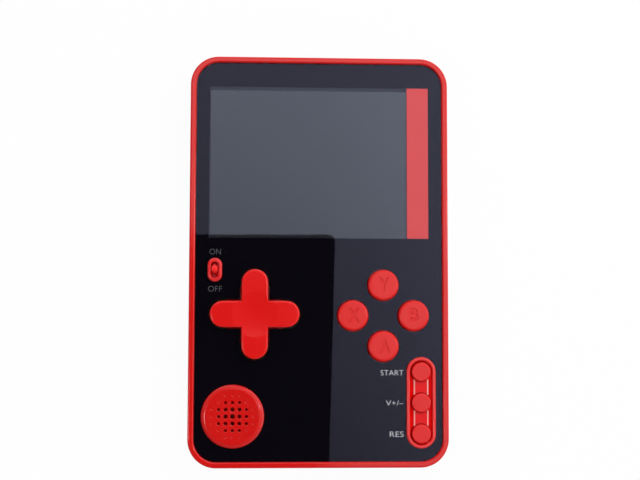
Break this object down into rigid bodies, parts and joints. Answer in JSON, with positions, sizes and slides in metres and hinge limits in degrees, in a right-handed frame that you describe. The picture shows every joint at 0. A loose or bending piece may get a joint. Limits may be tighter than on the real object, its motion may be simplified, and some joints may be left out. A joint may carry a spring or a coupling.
{
  "type": "handheld game console",
  "caption": "Slim handheld game console with red shell, black gloss front panel, colour screen, direction pad, face and menu buttons, speaker grille and sliding power switch.",
  "frame": {"origin": "middle of the flat rear face that the console lies on", "axes": "+X to the right of the screen, +Y to the screen end, +Z out of the screen"},
  "size_m": [0.064, 0.1014, 0.01],
  "materials": {
    "shell": "satin red moulding",
    "keys": "satin red moulding",
    "panel": "polished clear sheet",
    "film": "black print film",
    "strip": "red print film",
    "screen_glass": "grey screen glass",
    "screen_frame": "white moulding",
    "flex": "amber polyimide",
    "pouch": "laminated pouch",
    "foam": "black foam",
    "lead_red": "red insulation",
    "lead_black": "black insulation",
    "board": "green solder resist",
    "chip": "black epoxy",
    "parts": "ceramic and ferrite",
    "steel": "plated steel",
    "cone": "black diaphragm",
    "magnet": "plated magnet",
    "silicone": "grey silicone",
    "insulator": "black nylon"
  },
  "bodies": {
    "case": {"rear_cover": "shell", "front_shell": "shell", "front_panel": "panel", "panel_film": "film", "accent_strip": "strip", "lcd_glass": "screen_glass", "lcd_frame": "screen_frame", "lcd_flex": "flex", "battery": "pouch", "battery_foam": "foam", "battery_leads": "lead_red", "main_board": "board", "main_chip": "chip", "memory_chip": "chip", "board_parts": "parts", "speaker_basket": "steel", "speaker_cone": "cone", "speaker_magnet": "magnet", "speaker_gasket": "foam", "speaker_leads": "lead_black", "pad_membrane": "silicone", "face_membrane": "silicone", "menu_membrane": "silicone", "switch_body": "steel", "socket_shell": "steel", "socket_tongue": "insulator", "case_screws": "steel", "board_screws": "steel"},
    "pad_gimbal": {"pad_pivot": "steel"},
    "pad": {"direction_pad": "keys"},
    "button_y_key": {"button_y": "keys"},
    "button_b_key": {"button_b": "keys"},
    "button_a_key": {"button_a": "keys"},
    "button_x_key": {"button_x": "keys"},
    "start_button_key": {"start_button": "keys"},
    "volume_button_key": {"volume_button": "keys"},
    "reset_button_key": {"reset_button": "keys"},
    "power_slider": {"switch_knob": "keys", "switch_lever": "insulator"}
  },
  "joints": [
    {"name": "pad_up_down", "type": "hinge", "parent": "case", "child": "pad_gimbal", "pos_m": [-0.01578, -0.01325, 0.0054], "axis": [1, 0, 0], "range_deg": [-3.5, 3.5], "stiffness_Nm_per_rad": 0.05, "deforming": ["pad_membrane"]},
    {"name": "pad_left_right", "type": "hinge", "parent": "pad_gimbal", "child": "pad", "pos_m": [-0.01578, -0.01325, 0.0054], "axis": [0, 1, 0], "range_deg": [-3.5, 3.5], "stiffness_Nm_per_rad": 0.05, "deforming": ["pad_membrane"]},
    {"name": "button_y_press", "type": "slide", "parent": "case", "child": "button_y_key", "axis": [0, 0, -1], "range_m": [0, 0.0006], "stiffness_N_per_m": 400, "deforming": ["face_membrane"]},
    {"name": "button_b_press", "type": "slide", "parent": "case", "child": "button_b_key", "axis": [0, 0, -1], "range_m": [0, 0.0006], "stiffness_N_per_m": 400, "deforming": ["face_membrane"]},
    {"name": "button_a_press", "type": "slide", "parent": "case", "child": "button_a_key", "axis": [0, 0, -1], "range_m": [0, 0.0006], "stiffness_N_per_m": 400, "deforming": ["face_membrane"]},
    {"name": "button_x_press", "type": "slide", "parent": "case", "child": "button_x_key", "axis": [0, 0, -1], "range_m": [0, 0.0006], "stiffness_N_per_m": 400, "deforming": ["face_membrane"]},
    {"name": "start_button_press", "type": "slide", "parent": "case", "child": "start_button_key", "axis": [0, 0, -1], "range_m": [0, 0.0006], "stiffness_N_per_m": 400, "deforming": ["menu_membrane"]},
    {"name": "volume_button_press", "type": "slide", "parent": "case", "child": "volume_button_key", "axis": [0, 0, -1], "range_m": [0, 0.0006], "stiffness_N_per_m": 400, "deforming": ["menu_membrane"]},
    {"name": "reset_button_press", "type": "slide", "parent": "case", "child": "reset_button_key", "axis": [0, 0, -1], "range_m": [0, 0.0006], "stiffness_N_per_m": 400, "deforming": ["menu_membrane"]},
    {"name": "power_slide", "type": "slide", "parent": "case", "child": "power_slider", "axis": [0, 1, 0], "range_m": [-0.0011, 0.0006]}
  ]
}
